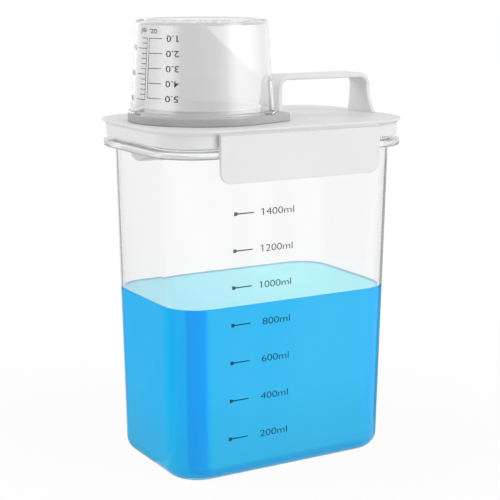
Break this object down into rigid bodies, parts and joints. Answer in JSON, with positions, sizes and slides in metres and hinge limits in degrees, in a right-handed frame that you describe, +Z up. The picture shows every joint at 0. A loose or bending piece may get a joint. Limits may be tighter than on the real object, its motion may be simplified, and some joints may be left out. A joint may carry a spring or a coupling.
{
  "type": "detergent dispenser bottle",
  "caption": "Clear rounded box for liquid detergent with a white latched lid, strap handle, round pouring spout and an inverted clear measuring cup.",
  "frame": {"origin": "middle of the container's footprint, on the ground", "axes": "+X along the container's length towards the handle, +Y to the rear latch, +Z up; the front latch faces -Y and the cup stands on the -X side"},
  "size_m": [0.1484, 0.1038, 0.2372],
  "materials": {
    "clear_plastic": "clear glossy moulded plastic",
    "cup_plastic": "clear glossy moulded plastic with a printed scale",
    "blue_liquid": "translucent blue liquid",
    "white_plastic": "fine satin moulded white plastic",
    "clear_silicone": "translucent soft silicone",
    "grey_silicone": "grey translucent soft silicone"
  },
  "bodies": {
    "container": {"container_body": "clear_plastic", "detergent_fill": "blue_liquid"},
    "lid": {"lid_cover": "white_plastic", "lid_gasket": "clear_silicone", "pour_spout": "white_plastic", "spout_gasket": "clear_silicone", "carry_handle": "white_plastic"},
    "cup": {"measuring_cup": "cup_plastic", "cup_seal_ring": "grey_silicone"},
    "front_latch_body": {"front_latch": "white_plastic"},
    "rear_latch_body": {"rear_latch": "white_plastic"}
  },
  "joints": [
    {"name": "lid_lift", "type": "slide", "parent": "container", "child": "lid", "axis": [0, 0, 1], "range_m": [0, 0.08]},
    {"name": "cup_lift", "type": "slide", "parent": "lid", "child": "cup", "axis": [0, 0, 1], "range_m": [0, 0.06]},
    {"name": "front_latch_hinge", "type": "hinge", "parent": "lid", "child": "front_latch_body", "pos_m": [0, -0.05187, 0.18188], "axis": [-1, 0, 0], "range_deg": [0, 110]},
    {"name": "rear_latch_hinge", "type": "hinge", "parent": "lid", "child": "rear_latch_body", "pos_m": [0, 0.05187, 0.18188], "axis": [1, 0, 0], "range_deg": [0, 110]}
  ]
}
